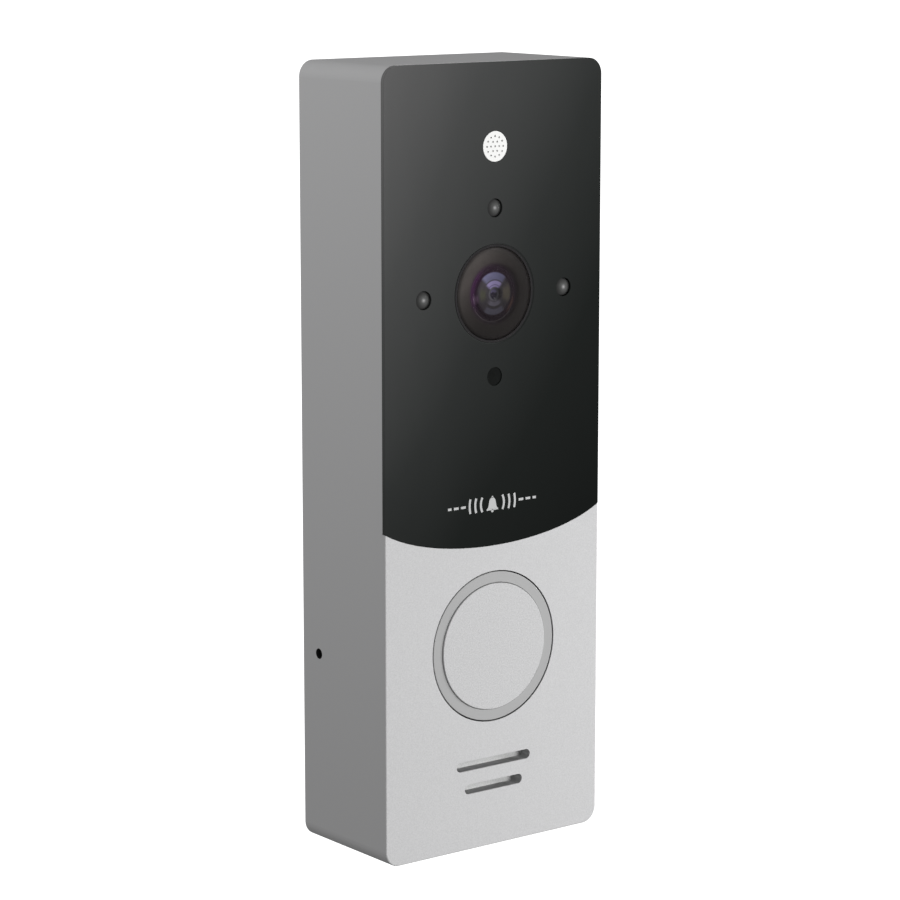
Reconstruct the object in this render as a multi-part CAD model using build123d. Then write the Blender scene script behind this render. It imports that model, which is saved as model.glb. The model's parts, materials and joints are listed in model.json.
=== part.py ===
from build123d import *
import math
import os

# Wall-mounted video doorbell panel, in millimetres.
# X runs across the panel, Z up the wall, and Y into the wall: the wall is the plane Y = 0
# and the panel's front looks along -Y. The origin is the middle of the wall bracket's back face.

# --- overall size -------------------------------------------------------------------------
WIDTH = 50.0
HEIGHT = 145.8
FRONT = -25.85                # front plane of the housing
CORNER_RADIUS = 3.0
FRONT_EDGE_RADIUS = 0.25
WALL = 2.0                    # side, top and bottom walls
FRONT_WALL = 2.6
INSIDE_FRONT = FRONT + FRONT_WALL
HOUSING_BACK = -0.2           # the rim stops just short of the wall
RIM_WALL = 1.2                # thinner wall around the rear cover
COVER_LEDGE = -3.8            # where the thick wall steps back to the rim

# --- dark camera window -------------------------------------------------------------------
WINDOW_LIP = 0.75             # full-width flange of the window
WINDOW_THICKNESS = 1.6
WINDOW_POCKET = 1.75          # pocket depth, window plus adhesive tape
WINDOW_SIDE_GAP = 0.03
WINDOW_EDGE_GAP = 0.08
WINDOW_EDGE_Z = -15.7         # lowest point of the curved lower edge
WINDOW_EDGE_A = 29.5          # half axes of the ellipse that the lower edge follows
WINDOW_EDGE_B = 10.7
POCKET_RIM = 1.2

# --- what looks out of the window -----------------------------------------------------------
LENS_Z = 31.0
LENS_HOLE_RADIUS = 9.05
LENS_GLASS_RADIUS = 8.5
LENS_SAG = 0.9
LENS_EDGE_Y = FRONT + 0.1
LENS_SEAT_Y = FRONT + 2.9      # where the barrel carries the front element
LED_HOLE_RADIUS = 1.72
LED_FLOOR_RADIUS = 1.98
LED_RADIUS = 1.58
LED_SAG = 0.35
LED_PLACES = {"left": (-16.2, LENS_Z), "right": (16.2, LENS_Z), "top": (0.0, 46.6)}
SENSOR_Z = 15.8
SENSOR_RADIUS = 1.66
MIC_Z = 57.7
GRILLE_RADIUS = 2.75

# --- camera unit behind the window ----------------------------------------------------------
HOLDER_X = (-12.2, 12.8)
HOLDER_FRONT = -13.8
CARRIAGE_LEVEL = (-12.75, -11.85)
CARRIAGE_X = (-11.0, 3.8)
FILTER_LEVEL = (-12.6, -12.0)
FILTER_PITCH = 7.2            # from one filter to the next, and the carriage's travel
FILTER_SIDE = 6.3

# --- call button ----------------------------------------------------------------------------
BUTTON_Z = -34.75
BUTTON_HOLE_RADIUS = 14.3
RING_OUTER_RADIUS = 14.05
RING_INNER_RADIUS = 12.0
DISC_RADIUS = 11.93
DISC_PROUD = 0.2
RING_FRONT = FRONT + 0.05
RING_BACK = FRONT + 2.4
DISC_BACK = FRONT + 1.35
BUTTON_TRAVEL = 0.8
SKIRT_RADIUS = 13.6
RUNNING_CLEARANCE = 0.05
PLUNGER_FRONT = -17.2
PLUNGER_RADIUS = 1.7
GUIDE_FRONT = -20.2
SEAL_BACK = -19.2

# --- speaker slots --------------------------------------------------------------------------
SLOT_HEIGHT = 1.85
SLOTS = {-56.75: 17.4, -61.25: 13.6}      # height of each slot's centre: its length
SPEAKER_Z = -59.2

# --- volume trimmer -------------------------------------------------------------------------
TRIMMER_Y = -5.1
TRIMMER_Z = -36.5
PINHOLE_RADIUS = 1.0
ROTOR_RADIUS = 1.4

# --- boards, cover and bracket --------------------------------------------------------------
IR_BOARD = (-19.9, -18.9)                 # front and back face of each board
CAMERA_BOARD = (-9.2, -8.0)
MAIN_BOARD = (-12.2, -10.6)
MAIN_BOARD_Z = (-50.2, 10.5)
BOARD_HOLE_RADIUS = 1.15
LEAD_SPACING = 1.8                        # between the two leads of a pair
LEAD_RADIUS = 0.4
IR_SCREWS = [(x, z) for x in (-14.2, 14.2) for z in (17.5, 44.0)]
CAMERA_SCREWS = [(x, z) for x in (-20.7, 20.7) for z in (16.5, 52.0)]
MAIN_SCREWS = [(x, z) for x in (-19.4, 19.4) for z in (-46.4, 7.2)]
COVER_SCREWS = [(x, z) for x in (-19.8, 19.8) for z in (-66.8, 66.8)]
COVER = (-3.0, -1.4)
BRACKET_THICKNESS = 1.2
WALL_SCREW_SPACING = 60.0
WALL_SCREW_RADIUS = 2.25
HEAD_ROOM_RADIUS = 5.5                    # hollow in the cover over each wall screw
TERMINAL_X = 14.5
TERMINAL_Z = (-21.8, -14.2)
TERMINAL_BACK = -4.3
CABLE_WINDOW_Z = -18.0                    # opening of the bracket over the terminals
HOOK_X = 12.0
LOCK_SCREW_Y = -6.8


def prism(outline, front, back):
    """Solid with the given X-Z outline between two Y levels."""
    base = Plane(origin=(0, back, 0), x_dir=(1, 0, 0), z_dir=(0, -1, 0))
    return extrude(base * outline, amount=back - front)


def block(x_span, y_span, z_span):
    """Box between limits along X, Y and Z."""
    spans = (x_span, y_span, z_span)
    sizes = [high - low for low, high in spans]
    middle = [(high + low) / 2 for low, high in spans]
    return Pos(*middle) * Box(*sizes)


def rod(radius, front, back, x=0.0, z=0.0):
    """Cylinder along Y."""
    return prism(Pos(x, z) * Circle(radius), front, back)


def tube(outer, inner, front, back, x=0.0, z=0.0):
    """Hollow cylinder along Y."""
    return prism(Pos(x, z) * (Circle(outer) - Circle(inner)), front, back)


def rod_x(radius, x_span, y, z):
    """Cylinder along X."""
    low, high = x_span
    return Pos((low + high) / 2, y, z) * Rot(0, 90, 0) * Cylinder(radius, high - low)


def rod_z(radius, z_span, x, y):
    """Cylinder along Z."""
    low, high = z_span
    return Pos(x, y, (low + high) / 2) * Cylinder(radius, high - low)


def rounded(width, height, radius, z=0.0):
    """Rounded rectangle in X-Z."""
    return Pos(0, z) * RectangleRounded(width, height, radius)


def turned(points, x=0.0, z=0.0):
    """Solid of revolution about a line along Y, from (radius, y) points."""
    profile = make_face(Polyline(*points, close=True))
    return Pos(x, 0, z) * revolve(profile, Axis.Y)


def at_places(places, maker):
    """One shape made of the same piece at several (x, z) places."""
    return Compound(children=[maker(x, z) for x, z in places])


def above_window_edge(gap=0.0):
    """X-Z region over the curved line where the window meets the metal plate."""
    middle_z = WINDOW_EDGE_Z + WINDOW_EDGE_B
    upper = Pos(0, middle_z + HEIGHT / 2) * Rectangle(2 * WIDTH, HEIGHT)
    lower = Pos(0, middle_z) * Ellipse(WINDOW_EDGE_A - gap, WINDOW_EDGE_B - gap)
    return upper + lower


def window_holes():
    """The openings that the window and the housing behind it share."""
    holes = Pos(0, LENS_Z) * Circle(LENS_HOLE_RADIUS)
    for x, z in LED_PLACES.values():
        holes += Pos(x, z) * Circle(LED_HOLE_RADIUS)
    holes += Pos(0, SENSOR_Z) * Circle(LED_HOLE_RADIUS)
    return holes


# --- housing and window -----------------------------------------------------------------------

def front_housing():
    """Die-cast tub with the window seat, the button hole, the slots and the inner bosses."""
    boss_radius = 2.0
    cover_boss_radius = 2.6
    pilot_radius = 1.0
    pilot_depth = 5.0
    cover_pilot_depth = 8.0
    through = 1.0

    shell = prism(rounded(WIDTH, HEIGHT, CORNER_RADIUS), FRONT, HOUSING_BACK)
    front_edges = shell.edges().filter_by_position(Axis.Y, FRONT - 0.01, FRONT + 0.01)
    shell = fillet(front_edges, FRONT_EDGE_RADIUS)
    cavity = rounded(WIDTH - 2 * WALL, HEIGHT - 2 * WALL, CORNER_RADIUS - 1.4)
    shell -= prism(cavity, INSIDE_FRONT, through)
    rim = rounded(WIDTH - 2 * RIM_WALL, HEIGHT - 2 * RIM_WALL, CORNER_RADIUS - 1.0)
    shell -= prism(rim, COVER_LEDGE, through)

    # seat of the window: a shallow full-width step, then a deeper pocket inside a rim
    step = Rectangle(2 * WIDTH, 2 * HEIGHT) & above_window_edge()
    shell -= prism(step, FRONT - through, FRONT + WINDOW_LIP)
    pocket = rounded(WIDTH - 2 * POCKET_RIM, HEIGHT - 2 * POCKET_RIM, CORNER_RADIUS - 1.0)
    shell -= prism(pocket & above_window_edge(), FRONT - through, FRONT + WINDOW_POCKET)
    openings = Pos(0, LENS_Z) * Circle(LENS_HOLE_RADIUS)
    for x, z in LED_PLACES.values():
        openings += Pos(x, z) * Circle(LED_FLOOR_RADIUS)
    openings += Pos(0, SENSOR_Z) * Circle(LED_FLOOR_RADIUS)
    openings += Pos(0, MIC_Z) * Circle(1.2)
    shell -= prism(openings, FRONT, INSIDE_FRONT + through)

    # button hole, speaker slots and the volume pinhole in the left side
    shell -= rod(BUTTON_HOLE_RADIUS, FRONT - through, INSIDE_FRONT + through, z=BUTTON_Z)
    for z, length in SLOTS.items():
        slot = Pos(0, z) * SlotOverall(length, SLOT_HEIGHT)
        shell -= prism(slot, FRONT - through, INSIDE_FRONT + through)
    shell -= rod_x(PINHOLE_RADIUS, (-WIDTH, -WIDTH / 2 + WALL + 0.5), TRIMMER_Y, TRIMMER_Z)

    # bosses, each with a blind pilot hole from behind
    boss_sets = [
        (IR_SCREWS, boss_radius, IR_BOARD[0], 2.4),
        (CAMERA_SCREWS, boss_radius, CAMERA_BOARD[0], pilot_depth),
        (MAIN_SCREWS, boss_radius + 0.4, MAIN_BOARD[0], pilot_depth),
        (COVER_SCREWS, cover_boss_radius, COVER[0], cover_pilot_depth),
    ]
    for places, radius, back, depth in boss_sets:
        for x, z in places:
            shell += rod(radius, INSIDE_FRONT - 0.3, back, x, z)
        for x, z in places:
            shell -= rod(pilot_radius, back - depth, back + through, x, z)

    # pockets for the bracket's hooks and the hole for the lock screw
    pocket_top = HEIGHT / 2 - 0.8
    for side in (-1, 1):
        x = side * HOOK_X
        shell -= block((x - 4.2, x + 4.2), (-6.6, -5.0), (HEIGHT / 2 - WALL - through, pocket_top))
    bottom = -HEIGHT / 2
    shell -= rod_z(1.5, (bottom - through, bottom + WALL + 0.5), 0, LOCK_SCREW_Y)
    shell -= rod_z(2.7, (bottom - through, bottom + 1.3), 0, LOCK_SCREW_Y)
    return shell


def camera_window():
    """Tinted cover with a thin flange over the housing's edge and a thicker body in its pocket."""
    lip_front = FRONT
    lip_back = FRONT + WINDOW_LIP
    body_back = FRONT + WINDOW_THICKNESS
    gap = WINDOW_SIDE_GAP
    lip_outline = rounded(WIDTH - 2 * gap, HEIGHT - 2 * gap, CORNER_RADIUS - gap)
    lip = prism(lip_outline & above_window_edge(WINDOW_EDGE_GAP), lip_front, lip_back)
    inset = POCKET_RIM + 0.1
    body_outline = rounded(WIDTH - 2 * inset, HEIGHT - 2 * inset, CORNER_RADIUS - 1.1)
    window = lip + prism(body_outline & above_window_edge(WINDOW_EDGE_GAP), lip_back, body_back)
    window -= prism(window_holes(), lip_front - 1, body_back + 1)
    window -= rod(GRILLE_RADIUS + 0.05, lip_front - 1, body_back + 1, z=MIC_Z)

    # bevel round the lens hole
    bevel = 0.2
    bevel_profile = [
        (LENS_HOLE_RADIUS - 1, lip_front - 1),
        (LENS_HOLE_RADIUS + bevel + 1, lip_front - 1),
        (LENS_HOLE_RADIUS - 1, lip_front + bevel + 1),
    ]
    return window - turned(bevel_profile, z=LENS_Z)


def window_tape():
    """Adhesive frame between the window and the pocket floor."""
    inset = POCKET_RIM + 0.6
    width = 1.8
    outer = rounded(WIDTH - 2 * inset, HEIGHT - 2 * inset, 1.6) & above_window_edge(0.6)
    inner_inset = inset + width
    inner = rounded(WIDTH - 2 * inner_inset, HEIGHT - 2 * inner_inset, 1.0) & above_window_edge(0.6 + width)
    return prism(outer - inner, FRONT + WINDOW_THICKNESS, FRONT + WINDOW_POCKET)


def mic_grille():
    """Round perforated disc over the microphone."""
    hole_radius = 0.18
    rings = {0.0: 1, 0.95: 6, 1.85: 12}
    disc = rod(GRILLE_RADIUS, FRONT, FRONT + 1.2, z=MIC_Z)
    for ring_radius, count in rings.items():
        for turn in range(count):
            angle = 2 * math.pi * turn / count
            x = ring_radius * math.cos(angle)
            z = MIC_Z + ring_radius * math.sin(angle)
            disc -= rod(hole_radius, FRONT - 1, FRONT + 2, x, z)
    return disc


# --- camera -----------------------------------------------------------------------------------

def lens_trim_ring():
    """Thin ring between the window's lens hole and the glass."""
    outer = LENS_HOLE_RADIUS - 0.05
    inner = LENS_GLASS_RADIUS + 0.05
    return tube(outer, inner, FRONT + 0.12, FRONT + 1.5, z=LENS_Z)


def front_lens():
    """Domed outer element, concave behind."""
    back = LENS_SEAT_Y - 0.05
    radius = (LENS_GLASS_RADIUS ** 2 + LENS_SAG ** 2) / (2 * LENS_SAG)
    glass = rod(LENS_GLASS_RADIUS, LENS_EDGE_Y - LENS_SAG - 1, back, z=LENS_Z)
    glass &= Pos(0, LENS_EDGE_Y - LENS_SAG + radius, LENS_Z) * Sphere(radius)
    hollow_radius = 5.2
    hollow_sag = 1.9
    hollow = (hollow_radius ** 2 + hollow_sag ** 2) / (2 * hollow_sag)
    glass -= Pos(0, back - hollow_sag + hollow, LENS_Z) * Sphere(hollow)
    return glass


def lens_barrel():
    """Wide front cup and threaded neck."""
    cup_outer = LENS_HOLE_RADIUS - 0.15
    profile = [
        (LENS_GLASS_RADIUS + 0.05, FRONT + 1.5),
        (cup_outer, FRONT + 1.5),
        (cup_outer, -21.0),
        (6.0, -20.4),
        (6.0, -14.2),
        (4.0, -14.2),
        (4.0, -17.4),
        (4.75, -17.4),
        (4.75, -20.9),
        (5.3, -21.3),
        (5.3, LENS_SEAT_Y),
        (LENS_GLASS_RADIUS + 0.05, LENS_SEAT_Y),
    ]
    return turned(profile, z=LENS_Z)


def inner_lens():
    """Second element, convex to the front, held in the neck."""
    radius = 4.7
    edge = -20.4
    sag = 1.5
    back = -18.8
    sphere = (radius ** 2 + sag ** 2) / (2 * sag)
    glass = rod(radius, edge - sag - 1, back, z=LENS_Z)
    return glass & (Pos(0, edge - sag + sphere, LENS_Z) * Sphere(sphere))


def lens_iris():
    """Aperture disc behind the second element."""
    return tube(4.7, 1.3, -18.7, -18.2, z=LENS_Z)


def rear_lens():
    """Small element behind the aperture."""
    return rod(3.9, -17.2, -15.0, z=LENS_Z)


def lens_holder():
    """Base on the camera board: tower for the lens neck, slot for the filter carriage."""
    base = block(HOLDER_X, (HOLDER_FRONT, CAMERA_BOARD[0]), (LENS_Z - 10.5, LENS_Z + 10.5))
    tower = rod(8.0, -17.8, HOLDER_FRONT, z=LENS_Z)
    holder = base + tower
    holder -= rod(6.05, -18.5, HOLDER_FRONT, z=LENS_Z)
    holder -= rod(4.8, -14.0, -12.8, z=LENS_Z)
    holder -= block((-11.3, 11.5), (-12.9, -11.7), (LENS_Z - 5.3, LENS_Z + 5.3))
    holder -= block((-3.4, 3.4), (-12.0, -10.8), (LENS_Z - 3.4, LENS_Z + 3.4))
    holder -= block((-5.4, 5.4), (-11.2, -8.0), (LENS_Z - 5.4, LENS_Z + 5.4))
    return holder


def filter_carriage():
    """Sliding frame with a window for each filter."""
    frame = block(CARRIAGE_X, CARRIAGE_LEVEL, (LENS_Z - 5.1, LENS_Z + 5.1))
    half = FILTER_SIDE / 2 + 0.05
    for x in (0.0, -FILTER_PITCH):
        frame -= block((x - half, x + half), (HOLDER_FRONT, -10), (LENS_Z - half, LENS_Z + half))
    return frame


def carriage_filter(x):
    """Flat square filter in one window of the carriage."""
    half = FILTER_SIDE / 2
    return block((x - half, x + half), FILTER_LEVEL, (LENS_Z - half, LENS_Z + half))


def image_sensor():
    return block((-3.7, 3.7), (-10.2, CAMERA_BOARD[0]), (LENS_Z - 3.7, LENS_Z + 3.7))


def filter_coil():
    """Wound coil that drives the carriage, on the camera board over the holder."""
    level = (-13.4, CAMERA_BOARD[0])
    low = LENS_Z + 10.9
    height = 4.6
    coil = rod_x(2.0, (-4.6, 4.6), sum(level) / 2, low + height / 2)
    for cheek in ((-5.5, -4.5), (4.5, 5.5)):
        coil += block(cheek, level, (low, low + height))
    return coil


def camera_board():
    """Board behind the lens, on four long bosses."""
    board = block((-22.4, 22.4), CAMERA_BOARD, (13.6, 57.0))
    for x, z in CAMERA_SCREWS:
        board -= rod(BOARD_HOLE_RADIUS, CAMERA_BOARD[0] - 1, CAMERA_BOARD[1] + 1, x, z)
    return board


def ir_board():
    """Small board close behind the front that carries the infrared LEDs."""
    outline = rounded(36.8, 38.6, 1.5, z=31.2) - Pos(0, LENS_Z) * Circle(8.4)
    board = prism(outline, *IR_BOARD)
    for x, z in IR_SCREWS:
        board -= rod(BOARD_HOLE_RADIUS, IR_BOARD[0] - 1, IR_BOARD[1] + 1, x, z)
    return board


def round_led(x, z, top):
    """Low-domed 3 mm package on the infrared board, with its rim."""
    base = IR_BOARD[0]
    rim = LED_RADIUS + 0.35
    rim_front = base - 0.9
    shoulder = top + LED_SAG
    sphere = (LED_RADIUS ** 2 + LED_SAG ** 2) / (2 * LED_SAG)
    half_turn = math.asin(LED_RADIUS / sphere) / 2
    middle = (sphere * math.sin(half_turn), top + sphere * (1 - math.cos(half_turn)))
    dome = ThreePointArc((0, top), middle, (LED_RADIUS, shoulder))
    corners = [
        (LED_RADIUS, shoulder),
        (LED_RADIUS, rim_front),
        (rim, rim_front),
        (rim, base),
        (0, base),
        (0, top),
    ]
    return Pos(x, 0, z) * revolve(make_face(dome + Polyline(*corners)), Axis.Y)


def light_sensor():
    """Flat-faced light pipe in front of the ambient light sensor."""
    return rod(SENSOR_RADIUS, FRONT + 0.15, IR_BOARD[0], z=SENSOR_Z)


def mic_boot():
    """Rubber sleeve that seals the microphone to the housing."""
    boot = rod(4.2, INSIDE_FRONT, -19.3, z=MIC_Z)
    boot -= rod(3.02, -22.1, -19.0, z=MIC_Z)
    boot -= rod(1.2, INSIDE_FRONT - 1, -21.0, z=MIC_Z)
    return boot


def mic_capsule():
    return rod(3.0, -22.0, -19.5, z=MIC_Z)


def lead_pair(route, spacing, radius, bend):
    """Two insulated leads side by side along X, following a Y-Z route with rounded corners."""
    leads = []
    for side in (-0.5, 0.5):
        x = route[0][0] + side * spacing
        points = [(x, y, z) for _, y, z in route]
        path = FilletPolyline(*points, radius=bend)
        start = Plane(origin=path @ 0, z_dir=path % 0)
        leads.append(sweep(start * Circle(radius), path=path))
    return Compound(children=leads)


def mic_leads():
    """From the back of the capsule to the front of the camera board."""
    landing = 54.5
    route = [
        (0.0, -19.5, MIC_Z),
        (0.0, -15.5, MIC_Z),
        (0.0, -12.5, landing),
        (0.0, CAMERA_BOARD[0], landing),
    ]
    return lead_pair(route, LEAD_SPACING, LEAD_RADIUS, 1.2)


# --- call button and switch -------------------------------------------------------------------

def button_disc():
    """Metal face that is pressed."""
    face = FRONT - DISC_PROUD
    disc = rod(DISC_RADIUS, face, DISC_BACK, z=BUTTON_Z)
    edge = disc.edges().filter_by_position(Axis.Y, face - 0.01, face + 0.01)
    return fillet(edge, 0.15)


def light_ring():
    """Translucent ring around the metal face."""
    ring = tube(RING_OUTER_RADIUS, RING_INNER_RADIUS, RING_FRONT, RING_BACK, z=BUTTON_Z)
    edges = ring.edges().filter_by_position(Axis.Y, RING_FRONT - 0.01, RING_FRONT + 0.01)
    return fillet(edges, 0.12)


def button_carrier():
    """Moulding behind the face: plate, three retaining tabs, guide skirt and centre post."""
    plate_front = RING_BACK
    plate_back = -21.4
    tab_reach = 16.0
    tab_half_width = 3.0
    carrier = rod(RING_INNER_RADIUS - 0.1, DISC_BACK, plate_front, z=BUTTON_Z)
    carrier += rod(SKIRT_RADIUS, plate_front, plate_back, z=BUTTON_Z)
    tab = block((0, tab_reach), (INSIDE_FRONT + 0.05, plate_back), (-tab_half_width, tab_half_width))
    for angle in (90, 210, 330):
        carrier += Pos(0, 0, BUTTON_Z) * Rot(0, -angle, 0) * tab
    carrier += tube(SKIRT_RADIUS, 12.4, plate_back, -17.2, z=BUTTON_Z)
    carrier += rod(2.2, plate_back, PLUNGER_FRONT - 0.03, z=BUTTON_Z)
    return carrier


def button_guide():
    """Reflector tube on the main board in which the button's skirt slides."""
    bore = SKIRT_RADIUS + RUNNING_CLEARANCE
    guide = tube(15.2, bore, GUIDE_FRONT, MAIN_BOARD[0], z=BUTTON_Z)
    return guide - rod(14.65, GUIDE_FRONT - 1, SEAL_BACK, z=BUTTON_Z)


def button_seal():
    """Silicone wiper ring in the mouth of the guide."""
    return tube(14.6, SKIRT_RADIUS + RUNNING_CLEARANCE, GUIDE_FRONT, SEAL_BACK, z=BUTTON_Z)


def switch_body():
    """Long-stroke push switch on the main board."""
    body = block((-3.0, 3.0), (-15.7, MAIN_BOARD[0]), (BUTTON_Z - 3.0, BUTTON_Z + 3.0))
    return body - rod(PLUNGER_RADIUS + RUNNING_CLEARANCE, -17, -13.2, z=BUTTON_Z)


def switch_plunger():
    return rod(PLUNGER_RADIUS, PLUNGER_FRONT, -14.2, z=BUTTON_Z)


def ring_leds():
    """Eight small LEDs inside the guide that light the ring."""
    radius = 12.2
    count = 8
    half = 0.8
    level = (-13.0, MAIN_BOARD[0])
    turns = [2 * math.pi * (step + 0.5) / count for step in range(count)]
    places = [(radius * math.cos(turn), BUTTON_Z + radius * math.sin(turn)) for turn in turns]
    return at_places(places, lambda x, z: block((x - half, x + half), level, (z - half, z + half)))


# --- speaker ------------------------------------------------------------------------------------

def speaker_membrane():
    """Waterproof acoustic membrane behind the slots."""
    return prism(rounded(22.0, 10.4, 2.0, z=-59.0), INSIDE_FRONT, INSIDE_FRONT + 0.4)


def speaker_gasket():
    """Foam frame between the speaker and the housing."""
    outline = rounded(30.0, 18.0, 4.0, z=SPEAKER_Z) - rounded(26.6, 14.6, 3.0, z=SPEAKER_Z)
    return prism(outline, INSIDE_FRONT, -22.0)


def speaker_frame():
    """Rim and basket."""
    outer = rounded(30.0, 18.0, 4.0, z=SPEAKER_Z)
    frame = prism(outer - rounded(27.2, 15.2, 3.0, z=SPEAKER_Z), -22.0, -20.6)
    basket = rounded(28.6, 16.8, 3.6, z=SPEAKER_Z)
    frame += prism(basket, -20.6, -15.6)
    frame -= prism(rounded(26.6, 14.8, 2.8, z=SPEAKER_Z), -20.6, -16.6)
    frame -= rod(6.2, -17, -15, z=SPEAKER_Z)
    return frame


def speaker_surround():
    """Flexible edge that carries the cone."""
    outline = rounded(27.0, 15.0, 2.9, z=SPEAKER_Z) - Pos(0, SPEAKER_Z) * Circle(7.0)
    return prism(outline, -21.4, -21.0)


def speaker_cone():
    """Paper cone with its dust cap."""
    profile = [(6.95, -21.4), (6.95, -21.0), (3.4, -18.6), (0, -18.6), (0, -19.0), (3.2, -19.0)]
    return turned(profile, z=SPEAKER_Z)


def voice_coil():
    return tube(3.3, 2.8, -18.6, -16.0, z=SPEAKER_Z)


def speaker_magnet():
    """Cup and magnet behind the basket."""
    cup = rod(6.15, -16.6, -13.0, z=SPEAKER_Z)
    return cup - tube(3.7, 2.5, -17, -15.0, z=SPEAKER_Z)


def speaker_leads():
    """From the speaker's rear edge to the main board."""
    x = 9.0
    start = -51.9
    landing = -49.5
    route = [
        (x, -15.6, start),
        (x, -14.6, start),
        (x, -13.4, landing),
        (x, MAIN_BOARD[0], landing),
    ]
    return lead_pair(route, LEAD_SPACING, LEAD_RADIUS, 0.6)


# --- main board -----------------------------------------------------------------------------------

def main_board():
    board = block((-21.8, 21.8), MAIN_BOARD, MAIN_BOARD_Z)
    for x, z in MAIN_SCREWS:
        board -= rod(BOARD_HOLE_RADIUS, MAIN_BOARD[0] - 1, MAIN_BOARD[1] + 1, x, z)
    return board


def chip(x, z, size, height=1.0):
    """Flat package on the front of the main board."""
    half = size / 2
    back = MAIN_BOARD[0]
    return block((x - half, x + half), (back - height, back), (z - half, z + half))


def power_inductor():
    body = chip(13.5, -11.0, 7.0, 3.6)
    return fillet(body.edges().filter_by(Axis.Y), 1.2)


def capacitors():
    """Three electrolytic cans on the back of the main board."""
    places = [(-10.0, 1.5), (-2.5, 1.5), (5.0, 1.5)]
    return at_places(places, lambda x, z: rod(3.1, MAIN_BOARD[1], -4.8, x, z))


def lock_relay():
    """Relay that switches the door lock."""
    return block((9.8, 19.8), (MAIN_BOARD[1], -4.6), (-9.2, 4.2))


def terminal_block():
    """Eight-way block whose wire entries face the wall."""
    ways = 8
    pitch = 2 * TERMINAL_X / ways
    body = block((-TERMINAL_X, TERMINAL_X), (MAIN_BOARD[1], TERMINAL_BACK), TERMINAL_Z)
    for way in range(ways):
        x = -TERMINAL_X + pitch * (way + 0.5)
        body -= rod(0.95, -8.8, TERMINAL_BACK + 1, x, TERMINAL_Z[0] + 2.3)
        release = (TERMINAL_Z[1] - 2.6, TERMINAL_Z[1] - 1.0)
        body -= block((x - 0.7, x + 0.7), (-6.0, TERMINAL_BACK + 1), release)
    return body


def trimmer_body():
    """Side-adjusted potentiometer on the back of the main board."""
    body = block((-21.4, -16.6), (MAIN_BOARD[1], -3.1), (TRIMMER_Z - 3.3, TRIMMER_Z + 3.3))
    return body - rod_x(ROTOR_RADIUS + RUNNING_CLEARANCE, (-22.0, -18.4), TRIMMER_Y, TRIMMER_Z)


def trimmer_rotor():
    """Slotted rotor that a small screwdriver turns through the pinhole."""
    rotor = rod_x(ROTOR_RADIUS, (-21.9, -18.5), TRIMMER_Y, TRIMMER_Z)
    return rotor - block((-23, -21.2), (TRIMMER_Y - 2, TRIMMER_Y + 2), (TRIMMER_Z - 0.3, TRIMMER_Z + 0.3))


def ribbon_sockets():
    """Two alike connectors, on the back faces of the camera board and the main board."""
    sockets = []
    for board, low in ((CAMERA_BOARD, 14.4), (MAIN_BOARD, 6.2)):
        sockets.append(block((-7.5, 7.5), (board[1], board[1] + 1.4), (low, low + 3.0)))
    return Compound(children=sockets)


def camera_ribbon():
    """Flat flexible cable from the camera board down to the main board."""
    half_width = 6.0
    thickness = 0.2
    centre = [(14.4, -7.2), (13.0, -7.2), (10.6, -9.8), (9.2, -9.8)]
    upper = [(z, y + thickness / 2) for z, y in centre]
    lower = [(z, y - thickness / 2) for z, y in reversed(centre)]
    profile = make_face(Polyline(*[(y, z) for z, y in upper + lower], close=True))
    side = Plane(origin=(-half_width, 0, 0), x_dir=(0, 1, 0), z_dir=(1, 0, 0))
    return extrude(side * profile, amount=2 * half_width)


def board_screw(board_back, x, z):
    """Small pan-head screw through a board into its boss."""
    head = rod(1.7, board_back, board_back + 1.0, x, z)
    slot = block((x - 1.2, x + 1.2), (board_back + 0.5, board_back + 2), (z - 0.2, z + 0.2))
    return head + rod(0.95, board_back - 3.0, board_back, x, z) - slot


# --- rear cover, bracket and fixings --------------------------------------------------------------

def rear_gasket():
    outer = rounded(WIDTH - 2 * RIM_WALL - 0.2, HEIGHT - 2 * RIM_WALL - 0.2, 1.9)
    inner = rounded(WIDTH - 2 * WALL, HEIGHT - 2 * WALL, 1.6)
    return prism(outer - inner, COVER_LEDGE, COVER[0])


def rear_cover():
    """Plate that closes the housing: terminal window, hook and lock notches, screw-head hollows."""
    cover = prism(rounded(WIDTH - 2 * RIM_WALL - 0.2, HEIGHT - 2 * RIM_WALL - 0.2, 1.9), *COVER)
    edge = HEIGHT / 2
    for side in (-1, 1):
        x = side * HOOK_X
        cover -= block((x - 4.5, x + 4.5), (-5, 0), (edge - 4.0, edge))
    cover -= block((-7.0, 7.0), (-5, 0), (-edge, -edge + 4.4))
    cover -= block((-15.2, 15.2), (-5, 0), (TERMINAL_Z[0] - 0.8, TERMINAL_Z[1] + 0.8))
    hollow_front = -4.4
    for z in (-WALL_SCREW_SPACING / 2, WALL_SCREW_SPACING / 2):
        cover += rod(HEAD_ROOM_RADIUS + 1.0, hollow_front - 1.0, COVER[0], z=z)
        cover -= rod(HEAD_ROOM_RADIUS, hollow_front, 0, z=z)
    for x, z in COVER_SCREWS:
        cover -= rod(1.2, -5, 0, x, z)
        cover -= rod(2.3, -2.4, 0, x, z)
    return cover


def cover_screw(x, z):
    """Countersunk into the cover, into a housing boss."""
    head = rod(2.1, -2.35, -1.5, x, z)
    slot = block((x - 1.5, x + 1.5), (-1.9, 0), (z - 0.25, z + 0.25))
    return head + rod(0.95, -8.0, -2.35, x, z) - slot


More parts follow.
